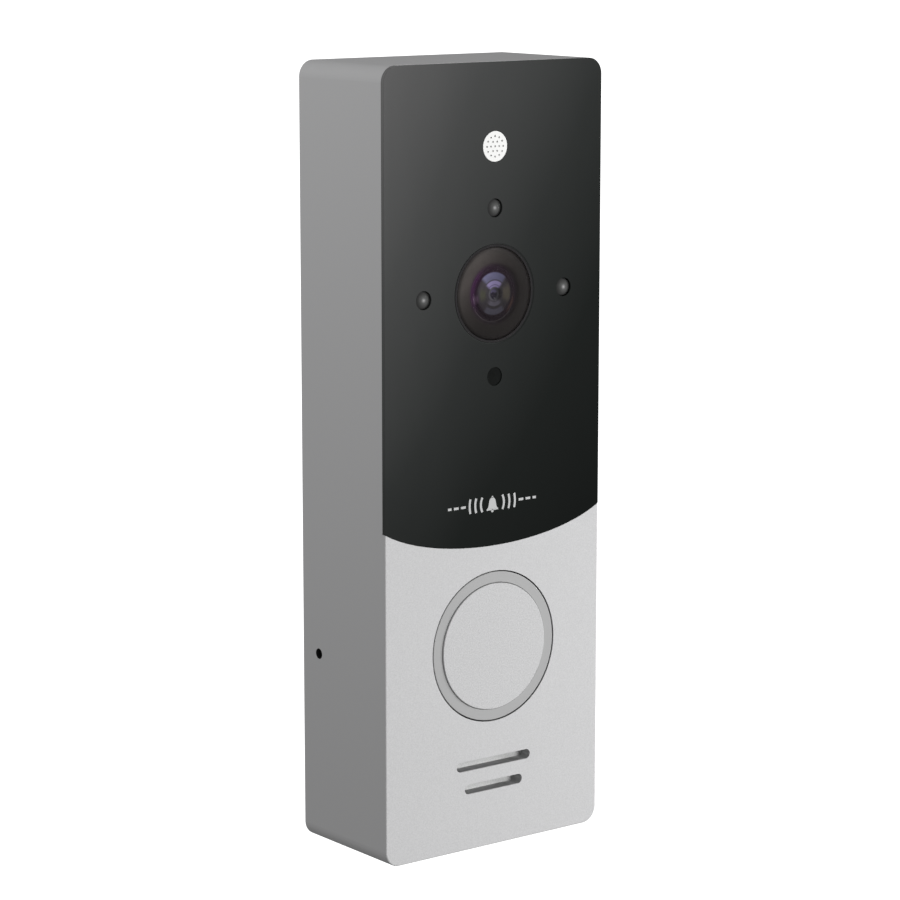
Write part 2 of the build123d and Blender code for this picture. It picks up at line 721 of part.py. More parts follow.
def wall_bracket():
    """Pressed steel plate with two hooks above and a threaded flange below."""
    back = 0.0
    front = -BRACKET_THICKNESS
    width = 46.8
    height = 142.4
    plate = prism(rounded(width, height, 2.0), front, back)
    for z in (-WALL_SCREW_SPACING / 2, WALL_SCREW_SPACING / 2):
        plate -= rod(WALL_SCREW_RADIUS, front - 1, back + 1, z=z)
    plate -= prism(Pos(0, CABLE_WINDOW_Z) * RectangleRounded(30.4, 13.0, 2.0), front - 1, back + 1)
    for x in (-18.0, 18.0):
        plate -= prism(Pos(x, 0) * SlotOverall(110.0, 2.4, rotation=90), back - 0.5, back + 1)

    leg_low = HEIGHT / 2 - WALL - 1.4
    leg_high = HEIGHT / 2 - WALL - 0.2
    for side in (-1, 1):
        x = side * HOOK_X
        plate += block((x - 4.0, x + 4.0), (-6.4, back), (leg_low, leg_high))
        plate += block((x - 4.0, x + 4.0), (-6.4, -5.2), (leg_low, HEIGHT / 2 - 1.0))
    flange_low = -HEIGHT / 2 + WALL + 0.3
    flange = block((-6.0, 6.0), (-10.0, back), (flange_low, flange_low + BRACKET_THICKNESS))
    plate += flange
    plate -= rod_z(1.25, (flange_low - 1, flange_low + 3), 0, LOCK_SCREW_Y)
    return plate


def lock_screw():
    """Socket-head screw through the housing's bottom into the bracket's flange."""
    bottom = -HEIGHT / 2
    head = rod_z(2.5, (bottom + 0.1, bottom + 1.3), 0, LOCK_SCREW_Y)
    head -= Pos(0, LOCK_SCREW_Y, bottom) * extrude(RegularPolygon(1.1, 6), amount=0.9)
    return head + rod_z(1.2, (bottom + 1.3, bottom + 5.0), 0, LOCK_SCREW_Y)


def all_parts():
    """Every sub-part by name."""
    parts = {
        "front_housing": front_housing(),
        "camera_window": camera_window(),
        "window_tape": window_tape(),
        "mic_grille": mic_grille(),
        "lens_trim_ring": lens_trim_ring(),
        "front_lens": front_lens(),
        "lens_barrel": lens_barrel(),
        "inner_lens": inner_lens(),
        "lens_iris": lens_iris(),
        "rear_lens": rear_lens(),
        "lens_holder": lens_holder(),
        "filter_carriage": filter_carriage(),
        "infrared_filter": carriage_filter(0.0),
        "clear_filter": carriage_filter(-FILTER_PITCH),
        "filter_coil": filter_coil(),
        "image_sensor": image_sensor(),
        "camera_board": camera_board(),
        "ir_board": ir_board(),
        "light_sensor": light_sensor(),
        "mic_boot": mic_boot(),
        "mic_capsule": mic_capsule(),
        "mic_leads": mic_leads(),
        "button_disc": button_disc(),
        "light_ring": light_ring(),
        "button_carrier": button_carrier(),
        "button_guide": button_guide(),
        "button_seal": button_seal(),
        "switch_body": switch_body(),
        "switch_plunger": switch_plunger(),
        "ring_leds": ring_leds(),
        "speaker_membrane": speaker_membrane(),
        "speaker_gasket": speaker_gasket(),
        "speaker_frame": speaker_frame(),
        "speaker_surround": speaker_surround(),
        "speaker_cone": speaker_cone(),
        "voice_coil": voice_coil(),
        "speaker_magnet": speaker_magnet(),
        "speaker_leads": speaker_leads(),
        "main_board": main_board(),
        "processor": chip(-7.0, -6.0, 11.0, 1.3),
        "memory_chip": chip(6.5, 3.0, 7.0),
        "power_inductor": power_inductor(),
        "capacitors": capacitors(),
        "lock_relay": lock_relay(),
        "terminal_block": terminal_block(),
        "trimmer_body": trimmer_body(),
        "trimmer_rotor": trimmer_rotor(),
        "ribbon_sockets": ribbon_sockets(),
        "camera_ribbon": camera_ribbon(),
        "ir_board_screws": at_places(IR_SCREWS, lambda x, z: board_screw(IR_BOARD[1], x, z)),
        "camera_board_screws": at_places(CAMERA_SCREWS, lambda x, z: board_screw(CAMERA_BOARD[1], x, z)),
        "main_board_screws": at_places(MAIN_SCREWS, lambda x, z: board_screw(MAIN_BOARD[1], x, z)),
        "rear_gasket": rear_gasket(),
        "rear_cover": rear_cover(),
        "rear_cover_screws": at_places(COVER_SCREWS, cover_screw),
        "wall_bracket": wall_bracket(),
        "lock_screw": lock_screw(),
    }
    for side, (x, z) in LED_PLACES.items():
        parts["ir_led_" + side] = round_led(x, z, FRONT + 0.02)
    return parts


os.makedirs("parts", exist_ok=True)
for name, shape in all_parts().items():
    export_step(shape, "parts/" + name + ".step")
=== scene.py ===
import json
import math

import bmesh
import bpy
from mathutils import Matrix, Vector


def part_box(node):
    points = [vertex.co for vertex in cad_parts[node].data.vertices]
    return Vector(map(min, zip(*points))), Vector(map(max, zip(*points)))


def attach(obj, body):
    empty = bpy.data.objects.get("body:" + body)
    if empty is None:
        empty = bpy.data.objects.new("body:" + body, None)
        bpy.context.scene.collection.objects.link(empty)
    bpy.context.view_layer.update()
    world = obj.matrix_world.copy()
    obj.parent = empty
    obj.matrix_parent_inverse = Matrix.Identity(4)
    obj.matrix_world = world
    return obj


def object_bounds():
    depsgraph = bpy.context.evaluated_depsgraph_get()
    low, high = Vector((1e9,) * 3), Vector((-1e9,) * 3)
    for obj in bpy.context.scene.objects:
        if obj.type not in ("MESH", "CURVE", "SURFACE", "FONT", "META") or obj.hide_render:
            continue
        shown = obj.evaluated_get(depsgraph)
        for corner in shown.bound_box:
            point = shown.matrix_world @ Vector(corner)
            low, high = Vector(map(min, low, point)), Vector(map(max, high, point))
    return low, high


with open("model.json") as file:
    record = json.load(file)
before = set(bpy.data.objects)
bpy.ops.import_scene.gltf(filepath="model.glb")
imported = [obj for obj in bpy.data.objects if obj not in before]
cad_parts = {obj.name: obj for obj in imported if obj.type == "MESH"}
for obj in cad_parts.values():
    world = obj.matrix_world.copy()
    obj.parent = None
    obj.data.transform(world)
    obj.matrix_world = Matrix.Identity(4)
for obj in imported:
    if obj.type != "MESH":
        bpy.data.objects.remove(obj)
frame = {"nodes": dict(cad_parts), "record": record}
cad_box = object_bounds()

# Video doorbell panel. X runs across it, Z up the wall and Y into the wall; metres.
# The front plate and the dark window face -Y, and the wall is the plane Y = 0.

MM = 0.001
WINDOW_LOW, WINDOW_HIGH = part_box("camera_window")
FRONT_Y = WINDOW_LOW.y
LENS_LOW, LENS_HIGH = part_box("front_lens")
LENS_X = (LENS_LOW.x + LENS_HIGH.x) / 2
LENS_Z = (LENS_LOW.z + LENS_HIGH.z) / 2
LENS_RADIUS = (LENS_HIGH.x - LENS_LOW.x) / 2
CAVITY_X = 23.0 * MM          # inner faces of the housing's side walls
CAVITY_Z = 70.9 * MM          # inner faces of its end walls
SLOT_TOP = -53.5 * MM         # level just above the speaker slots
SLOT_MIDDLE = -59.0 * MM      # between the longer slot and the shorter one
SLOT_END_X = 5.5 * MM         # where the right end of the longer slot begins
SLOT_STEP = 1.9 * MM          # the shorter slot ends this much earlier


# --- material helpers -------------------------------------------------------------------------

class Finish:
    """A Principled material built from procedural nodes in the object's own coordinates."""

    def __init__(self, name, colour=(0.5, 0.5, 0.5), roughness=0.5, metallic=0.0):
        self.material = bpy.data.materials.new(name)
        self.material.use_nodes = True
        self.tree = self.material.node_tree
        self.shader = self.tree.nodes["Principled BSDF"]
        self.set("Base Color", (*colour, 1.0))
        self.set("Roughness", roughness)
        self.set("Metallic", metallic)
        self.place = self.node("ShaderNodeTexCoord").outputs["Object"]

    def node(self, kind, **settings):
        made = self.tree.nodes.new(kind)
        for key, value in settings.items():
            setattr(made, key, value)
        return made

    def put(self, socket, value):
        """Links an output to a socket, or sets the socket's own value."""
        if isinstance(value, bpy.types.NodeSocket):
            self.tree.links.new(value, socket)
        else:
            socket.default_value = value

    def set(self, name, value):
        self.put(self.shader.inputs[name], value)
        return self

    def math(self, operation, *values, clamp=False):
        made = self.node("ShaderNodeMath", operation=operation, use_clamp=clamp)
        for socket, value in zip(made.inputs, values):
            self.put(socket, value)
        return made.outputs[0]

    def axes(self, place=None):
        """The X, Y and Z outputs of a point, in metres."""
        split = self.node("ShaderNodeSeparateXYZ")
        self.put(split.inputs[0], place or self.place)
        return split.outputs

    def length(self, u, v):
        """Distance of a point (u, v) from the origin."""
        squares = [self.math("MULTIPLY", side, side) for side in (u, v)]
        return self.math("SQRT", self.math("ADD", *squares))

    def times(self, colour, factor):
        """A colour output multiplied by a number output."""
        made = self.node("ShaderNodeVectorMath", operation="SCALE")
        self.put(made.inputs[0], colour)
        self.put(made.inputs["Scale"], factor)
        return made.outputs[0]

    def scaled(self, factors):
        """The object's coordinates, multiplied along each axis."""
        made = self.node("ShaderNodeVectorMath", operation="MULTIPLY")
        self.put(made.inputs[0], self.place)
        made.inputs[1].default_value = factors
        return made.outputs[0]

    def noise(self, scale, detail=3.0, roughness=0.5, place=None):
        made = self.node("ShaderNodeTexNoise")
        self.put(made.inputs["Vector"], place or self.place)
        made.inputs["Scale"].default_value = scale
        made.inputs["Detail"].default_value = detail
        made.inputs["Roughness"].default_value = roughness
        return made.outputs["Fac"]

    def cells(self, scale, randomness=1.0):
        """Distance to the nearest of many scattered points."""
        made = self.node("ShaderNodeTexVoronoi", feature="F1")
        self.put(made.inputs["Vector"], self.place)
        made.inputs["Scale"].default_value = scale
        made.inputs["Randomness"].default_value = randomness
        return made.outputs["Distance"]

    def span(self, value, low, high, new_low=0.0, new_high=1.0, smooth=True):
        """Maps low..high to new_low..new_high, with soft ends."""
        kind = "SMOOTHSTEP" if smooth else "LINEAR"
        made = self.node("ShaderNodeMapRange", interpolation_type=kind)
        numbers = (value, low, high, new_low, new_high)
        for socket, number in zip(made.inputs, numbers):
            self.put(socket, number)
        return made.outputs["Result"]

    def ramp(self, fac, stops):
        """Colour ramp from (position, colour) stops."""
        made = self.node("ShaderNodeValToRGB")
        self.put(made.inputs["Fac"], fac)
        elements = made.color_ramp.elements
        while len(elements) < len(stops):
            elements.new(1.0)
        for element, (position, colour) in zip(elements, stops):
            element.position = position
            element.color = (*colour, 1.0)
        return made.outputs["Color"]

    def mix(self, fac, first, second):
        made = self.node("ShaderNodeMix", data_type="RGBA")
        self.put(made.inputs["Factor"], fac)
        sockets = [s for s in made.inputs if s.type == "RGBA"]
        for socket, value in zip(sockets, (first, second)):
            is_colour = isinstance(value, tuple) and len(value) == 3
            self.put(socket, (*value, 1.0) if is_colour else value)
        return next(s for s in made.outputs if s.type == "RGBA")

    def bump(self, height, strength, distance):
        made = self.node("ShaderNodeBump")
        self.put(made.inputs["Height"], height)
        self.put(made.inputs["Strength"], strength)
        made.inputs["Distance"].default_value = distance
        self.set("Normal", made.outputs["Normal"])
        return self


def shade(colour, factor):
    return tuple(min(1.0, channel * factor) for channel in colour)


def moulded(name, colour, roughness=0.45, grain=1800.0, depth=0.012, variation=0.06, **sockets):
    """Moulded plastic or rubber: spark-eroded grain, faint cloudiness and uneven gloss."""
    finish = Finish(name, colour, roughness)
    cloud = finish.noise(60.0, 4.0)
    low, high = shade(colour, 1 - variation), shade(colour, 1 + variation)
    finish.set("Base Color", finish.ramp(cloud, [(0.3, low), (0.7, high)]))
    fine = finish.noise(grain, 2.0)
    finish.set("Roughness", finish.span(fine, 0.3, 0.7, roughness - 0.05, roughness + 0.05))
    finish.bump(fine, 0.5, depth * MM)
    for socket, value in sockets.items():
        finish.set(socket.replace("_", " "), value)
    return finish


def metal(name, colour, roughness=0.35, scratch=(400.0, 400.0, 9000.0), depth=0.004, variation=0.08):
    """Bare metal with drawn lines along one axis and patches of uneven polish."""
    finish = Finish(name, colour, roughness, metallic=1.0)
    lines = finish.noise(1.0, 3.0, place=finish.scaled(scratch))
    patches = finish.noise(120.0, 4.0)
    low, high = shade(colour, 1 - variation), shade(colour, 1 + variation)
    finish.set("Base Color", finish.ramp(patches, [(0.3, low), (0.7, high)]))
    finish.set("Roughness", finish.span(lines, 0.3, 0.7, roughness - 0.08, roughness + 0.1))
    finish.bump(lines, 0.4, depth * MM)
    return finish


# --- finishes that the front shows ------------------------------------------------------------

SILVER = (0.60, 0.60, 0.605)


def housing_inside(finish, x, y, z):
    """1 on the housing's inner walls, which begin just behind the front, and 0 outside."""
    below = finish.span(y, FRONT_Y + 0.05 * MM, FRONT_Y + 0.45 * MM)
    across = finish.span(finish.math("ABSOLUTE", x), CAVITY_X, CAVITY_X + 1.0 * MM, 1.0, 0.0)
    along = finish.span(finish.math("ABSOLUTE", z), CAVITY_Z, CAVITY_Z + 1.0 * MM, 1.0, 0.0)
    return finish.math("MULTIPLY", below, finish.math("MULTIPLY", across, along))


def slot_ends(finish, x, z):
    """1 at the right ends of the two speaker slots, which catch light from the membrane."""
    soft = 0.5 * MM
    shorter = finish.span(z, SLOT_MIDDLE - soft, SLOT_MIDDLE + soft, SLOT_STEP, 0.0)
    right = finish.span(finish.math("ADD", x, shorter), SLOT_END_X, SLOT_END_X + 2.5 * MM)
    return finish.math("MULTIPLY", right, finish.span(z, SLOT_TOP - soft, SLOT_TOP + soft, 1.0, 0.0))


def sandblasted(name, colour):
    """Silver metal: coarse blasted grain on the front, hardly any on the sides; the sides painted a little
    lighter, the inner walls painted dark as shade, and the speaker slots' right ends painted lighter as
    light.
    """
    finish = Finish(name, colour, 0.5, metallic=0.2)
    x, y, z = finish.axes()
    on_front = finish.span(y, FRONT_Y - 0.3 * MM, FRONT_Y + 0.5 * MM, 1.0, 0.12)
    coarse = finish.noise(3800.0, 2.0, 0.6)
    fine = finish.noise(9000.0, 2.0, 0.6)
    grain = finish.math("MULTIPLY_ADD", fine, 0.5, coarse)
    clouds = finish.noise(35.0, 3.0)
    speckle = finish.math("MULTIPLY", finish.span(grain, 0.5, 1.0, -1.0, 1.0, smooth=False), on_front)
    tone = finish.math("MULTIPLY_ADD", speckle, 0.32, finish.span(clouds, 0.3, 0.7, 0.49, 0.51))
    front_silver = finish.ramp(tone, [(0.0, shade(colour, 0.72)), (1.0, shade(colour, 1.28))])
    # painted light: away from the front, the silver is 9% lighter than the front's mean tone
    silver_sides_lightened = finish.mix(on_front, shade(colour, 1.09), front_silver)
    # painted shade: the inner walls behind the front are darkened to a third of the silver, except at the
    # slots' right ends, which get painted light
    inner_painted_shade = finish.mix(slot_ends(finish, x, z), shade(colour, 0.34), shade(colour, 0.95))
    finish.set("Base Color", finish.mix(housing_inside(finish, x, y, z), silver_sides_lightened, inner_painted_shade))
    finish.set("Roughness", finish.span(coarse, 0.3, 0.7, 0.44, 0.56))
    finish.bump(grain, finish.math("MULTIPLY", on_front, 0.55), 0.03 * MM)
    return finish


def window_finish():
    """Black glossy acrylic, its colour painted with a sheen that brightens towards its upper left, with
    faint random smears.
    """
    finish = Finish("window", (0.01, 0.0115, 0.011), 0.12)
    x, y, z = finish.axes()
    # painted sheen: across and up brighten the colour towards the upper left as a reflection would, and it
    # fades near the bottom, most on the left
    across = finish.span(x, WINDOW_LOW.x, WINDOW_HIGH.x, 0.485, 0.0, smooth=False)
    up = finish.span(z, WINDOW_LOW.z, WINDOW_HIGH.z, 0.0, 0.515, smooth=False)
    smears = finish.noise(45.0, 5.0, 0.6, place=finish.scaled((1.0, 1.0, 0.35)))
    streaky = finish.span(smears, 0.35, 0.65, -0.01, 0.01)
    painted_sheen = finish.math("ADD", finish.math("ADD", across, up), streaky)
    sheen_fade_below = finish.span(z, WINDOW_LOW.z, WINDOW_LOW.z + 30 * MM, 0.16, 0.0)
    painted_sheen = finish.math("SUBTRACT", painted_sheen, finish.math("MULTIPLY", sheen_fade_below, across))
    stops = [
        (0.05, (0.0020, 0.0030, 0.0025)),
        (0.28, (0.0057, 0.0072, 0.0065)),
        (0.50, (0.0187, 0.0205, 0.0198)),
        (0.76, (0.0485, 0.0500, 0.0495)),
        (1.00, (0.0950, 0.0950, 0.0950)),
    ]
    # painted light: the window's side edges, behind its front face, are painted twice as bright
    edge_painted_light = finish.span(y, FRONT_Y + 0.02 * MM, FRONT_Y + 0.10 * MM, 1.0, 2.0)
    finish.set("Base Color", finish.times(finish.ramp(painted_sheen, stops), edge_painted_light))
    fine = finish.noise(900.0, 3.0)
    finish.set("Roughness", finish.span(fine, 0.3, 0.7, 0.09, 0.13))
    finish.set("Specular IOR Level", 0.3)
    finish.bump(fine, 0.05, 0.002 * MM)
    return finish


def clear_dome():
    """Coated front element: almost clear, with a weak warm reflection."""
    finish = Finish("lens_glass", (0.004, 0.004, 0.006), 0.03)
    finish.set("IOR", 1.75)
    finish.set("Alpha", 0.22)
    bloom = finish.noise(140.0, 3.0)
    stops = [(0.3, (0.004, 0.003, 0.003)), (0.7, (0.007, 0.005, 0.005))]
    finish.set("Base Color", finish.ramp(bloom, stops))
    finish.set("Roughness", finish.span(bloom, 0.3, 0.7, 0.02, 0.05))
    finish.set("Specular Tint", (0.95, 0.86, 0.84, 1.0))
    return finish


def ring_finish():
    """Frosted light guide round the button."""
    grey = (0.372, 0.373, 0.373)
    finish = moulded("ring_plastic", grey, 0.34, grain=2500.0, depth=0.006, variation=0.02)
    finish.set("Coat Weight", 0.25)
    finish.set("Coat Roughness", 0.2)
    return finish


def led_finish():
    """Smoked epoxy lens, with a painted highlight in its middle where the reflector cup sits, fading
    outwards.
    """
    finish = Finish("led_clear", (0.05, 0.05, 0.05), 0.12)
    generated = finish.node("ShaderNodeTexCoord").outputs["Generated"]
    x, _, z = finish.axes(generated)
    u = finish.math("SUBTRACT", x, 0.5)
    v = finish.math("SUBTRACT", z, 0.5)
    swirl = finish.noise(1500.0, 2.0)
    highlight_radius = finish.math("MULTIPLY_ADD", swirl, 0.05, finish.length(u, v))
    # painted highlight: bright in the middle, falling to the lens's own dark grey towards the rim
    stops = [
        (0.03, (0.34, 0.34, 0.34)),
        (0.08, (0.20, 0.20, 0.20)),
        (0.15, (0.080, 0.081, 0.080)),
        (0.30, (0.043, 0.044, 0.043)),
        (0.40, (0.028, 0.028, 0.028)),
    ]
    finish.set("Base Color", finish.ramp(highlight_radius, stops))
    finish.set("Roughness", finish.span(swirl, 0.3, 0.7, 0.12, 0.2))
    finish.set("Specular IOR Level", 0.4)
    return finish


def sensor_finish():
    """Black light pipe, with gloss that varies in patches."""
    finish = Finish("led_dark", (0.004, 0.0045, 0.0042), 0.3)
    cloud = finish.noise(400.0, 3.0)
    stops = [(0.3, (0.0034, 0.0040, 0.0037)), (0.7, (0.0056, 0.0064, 0.0060))]
    finish.set("Base Color", finish.ramp(cloud, stops))
    finish.set("Roughness", finish.span(cloud, 0.3, 0.7, 0.25, 0.4))
    finish.set("Specular IOR Level", 0.25)
    return finish


def board_finish(name):
    """Solder mask over copper: raised tracks and tinned pads."""
    finish = Finish(name, (0.012, 0.10, 0.035), 0.3)
    brick = finish.node("ShaderNodeTexBrick")
    finish.put(brick.inputs["Vector"], finish.scaled((1.0, 0.0, 1.0)))
    brick.inputs["Scale"].default_value = 260.0
    brick.inputs["Mortar Size"].default_value = 0.08
    tracks = brick.outputs["Fac"]
    pads = finish.span(finish.cells(520.0, randomness=0.35), 0.12, 0.16, 1.0, 0.0)
    solder_mask = finish.mix(tracks, (0.012, 0.10, 0.035), (0.02, 0.16, 0.055))
    tin = (0.62, 0.60, 0.55)
    finish.set("Base Color", finish.mix(pads, solder_mask, tin))
    finish.set("Metallic", pads)
    finish.bump(tracks, 0.3, 0.03 * MM)
    return finish


def cloth_like(name, colour, scale, roughness=0.9):
    """Foam, paper or woven membrane: open cells, with painted shade darkening their pits."""
    finish = Finish(name, colour, roughness)
    cells = finish.cells(scale)
    # painted shade: darker towards the cell centres, where the bump below sinks into pits
    finish.set("Base Color", finish.ramp(cells, [(0.0, shade(colour, 0.78)), (0.6, shade(colour, 1.1))]))
    finish.set("Roughness", finish.span(cells, 0.0, 0.6, roughness - 0.1, roughness))
    finish.bump(cells, 0.5, 0.03 * MM)
    return finish


def coated_glass(name, tint):
    """Small coated optic that nothing shines through when the camera is off."""
    finish = Finish(name, tint, 0.05)
    bloom = finish.noise(200.0, 2.0)
    finish.set("Base Color", finish.ramp(bloom, [(0.3, shade(tint, 0.7)), (0.7, shade(tint, 1.4))]))
    finish.set("Roughness", finish.span(bloom, 0.3, 0.7, 0.03, 0.08))
    finish.set("Coat Weight", 1.0)
    return finish


FINISHES = {
    "case_metal": sandblasted("case_metal", SILVER),
    "button_metal": sandblasted("button_metal", SILVER),
    "window": window_finish(),
    "lens_glass": clear_dome(),
    "ring_plastic": ring_finish(),
    "led_clear": led_finish(),
    "led_dark": sensor_finish(),
    "tape": moulded("tape", (0.02, 0.02, 0.02), 0.7),
    "white_plastic": moulded("white_plastic", (0.78, 0.78, 0.77), 0.4, variation=0.02),
    "trim": moulded("trim", (0.016, 0.015, 0.016), 0.3),
    "barrel": moulded("barrel", (0.014, 0.013, 0.014), 0.55),
    "inner_glass": coated_glass("inner_glass", (0.012, 0.010, 0.03)),
    "filter_glass": coated_glass("filter_glass", (0.10, 0.03, 0.05)),
    "black_plastic": moulded("black_plastic", (0.018, 0.018, 0.019), 0.5),
    "copper": metal("copper", (0.78, 0.36, 0.18), 0.3, scratch=(300.0, 9000.0, 300.0)),
    "silicon": coated_glass("silicon", (0.05, 0.06, 0.10)),
    "board_green": board_finish("board_green"),
    "rubber": moulded("rubber", (0.016, 0.016, 0.017), 0.8, depth=0.03),
    "capsule_metal": metal("capsule_metal", (0.62, 0.62, 0.60), 0.35),
    "lead_red": moulded("lead_red", (0.42, 0.02, 0.015), 0.4),
    "silicone": moulded("silicone", (0.32, 0.33, 0.34), 0.5, Subsurface_Weight=0.1),
    "membrane": cloth_like("membrane", (0.56, 0.565, 0.56), 5200.0, 0.75),
    "foam": cloth_like("foam", (0.03, 0.03, 0.032), 2600.0),
    "cone_paper": cloth_like("cone_paper", (0.05, 0.048, 0.045), 3800.0),
    "steel": metal("steel", (0.56, 0.57, 0.58), 0.38),
    "chip": moulded("chip", (0.02, 0.02, 0.022), 0.5),
    "ferrite": moulded("ferrite", (0.045, 0.043, 0.042), 0.55),
    "can": metal("can", (0.66, 0.66, 0.67), 0.3),
    "relay_blue": moulded("relay_blue", (0.02, 0.09, 0.34), 0.4),
    "terminal_green": moulded("terminal_green", (0.02, 0.22, 0.08), 0.42),
    "trimmer_blue": moulded("trimmer_blue", (0.03, 0.13, 0.42), 0.4),
    "rotor": moulded("rotor", (0.70, 0.69, 0.66), 0.4),
    "ribbon": moulded("ribbon", (0.62, 0.40, 0.10), 0.35),
    "screw": metal("screw", (0.58, 0.58, 0.60), 0.3, scratch=(2000.0, 2000.0, 2000.0)),
    "cover_plastic": moulded("cover_plastic", (0.05, 0.05, 0.052), 0.55, grain=1300.0, depth=0.02),
}

for part in frame["record"]["subparts"]:
    part_mesh = frame["nodes"][part["node"]].data
    part_mesh.materials.clear()
    part_mesh.materials.append(FINISHES[part["material_slot"]].material)


# --- optics seen through the front element -------------------------------------------------------

def about_y(centre):
    """Places points of a profile turned about a line along Y."""
    def place(radius, turn, along):
        return (centre.x + radius * math.cos(turn), along, centre.z + radius * math.sin(turn))
    return place


def about_x(centre):
    """Places points of a profile turned about a line along X."""
    def place(radius, turn, along):
        return (along, centre.y + radius * math.cos(turn), centre.z + radius * math.sin(turn))
    return place


def turned_piece(name, profile, place, steps=128):
    """Mesh of revolution from (radius, distance along the axis) points."""
    mesh = bmesh.new()
    rings = []
    turns = [2 * math.pi * step / steps for step in range(steps)]
    for radius, along in profile:
        if radius == 0:
            rings.append([mesh.verts.new(place(0, 0, along))])
        else:
            rings.append([mesh.verts.new(place(radius, turn, along)) for turn in turns])
    for first, second in zip(rings, rings[1:]):
        for step in range(steps):
            after = (step + 1) % steps
            if len(second) == 1:
                corners = (first[step], first[after], second[0])
            elif len(first) == 1:
                corners = (first[0], second[after], second[step])
            else:
                corners = (first[step], first[after], second[after], second[step])
            mesh.faces.new(corners)
    bmesh.ops.recalc_face_normals(mesh, faces=mesh.faces)
    return finished(name, mesh)


def finished(name, mesh, smooth=True):
    """Turns a bmesh into an object of the scene."""
    data = bpy.data.meshes.new(name)
    mesh.to_mesh(data)
    mesh.free()
    for polygon in data.polygons:
        polygon.use_smooth = smooth
    made = bpy.data.objects.new(name, data)
    bpy.context.scene.collection.objects.link(made)
    return made


DOME_SAG = 0.9 * MM
DOME_RADIUS = (LENS_RADIUS ** 2 + DOME_SAG ** 2) / (2 * DOME_SAG)
PUPIL_X = LENS_X - 0.42 * MM   # rings sit a little left, where deep elements appear in the photo


def under_dome(radius, depth):
    """Y of a point that lies a given depth behind the dome's surface."""
    return LENS_LOW.y + DOME_RADIUS - math.sqrt(DOME_RADIUS ** 2 - radius ** 2) + depth


def optics_profile():
    """Outline of the coated optics: the back outwards, then the front from its rim to the pupil."""
    rear_y = LENS_HIGH.y - 0.4 * MM
    back = [
        (0, under_dome(0, 1.3 * MM)),
        (5.0 * MM, under_dome(5.0 * MM, 1.2 * MM)),
        (8.3 * MM, rear_y),
    ]
    front_steps = [
        (8.44, 0.90), (8.41, 0.08), (7.80, 0.08), (7.00, 0.10), (6.20, 0.16), (5.45, 0.22),
        (5.35, 0.32), (4.95, 0.50), (4.55, 0.55), (4.40, 0.42), (4.20, 0.38), (3.40, 0.34),
        (2.60, 0.32), (2.00, 0.32), (1.50, 0.34), (1.33, 0.36), (1.25, 0.42), (1.05, 0.46),
        (0.98, 0.75), (0.50, 0.80), (0.00, 0.82),
    ]
    front = [(r * MM, under_dome(r * MM, depth * MM)) for r, depth in front_steps]
    return back + front


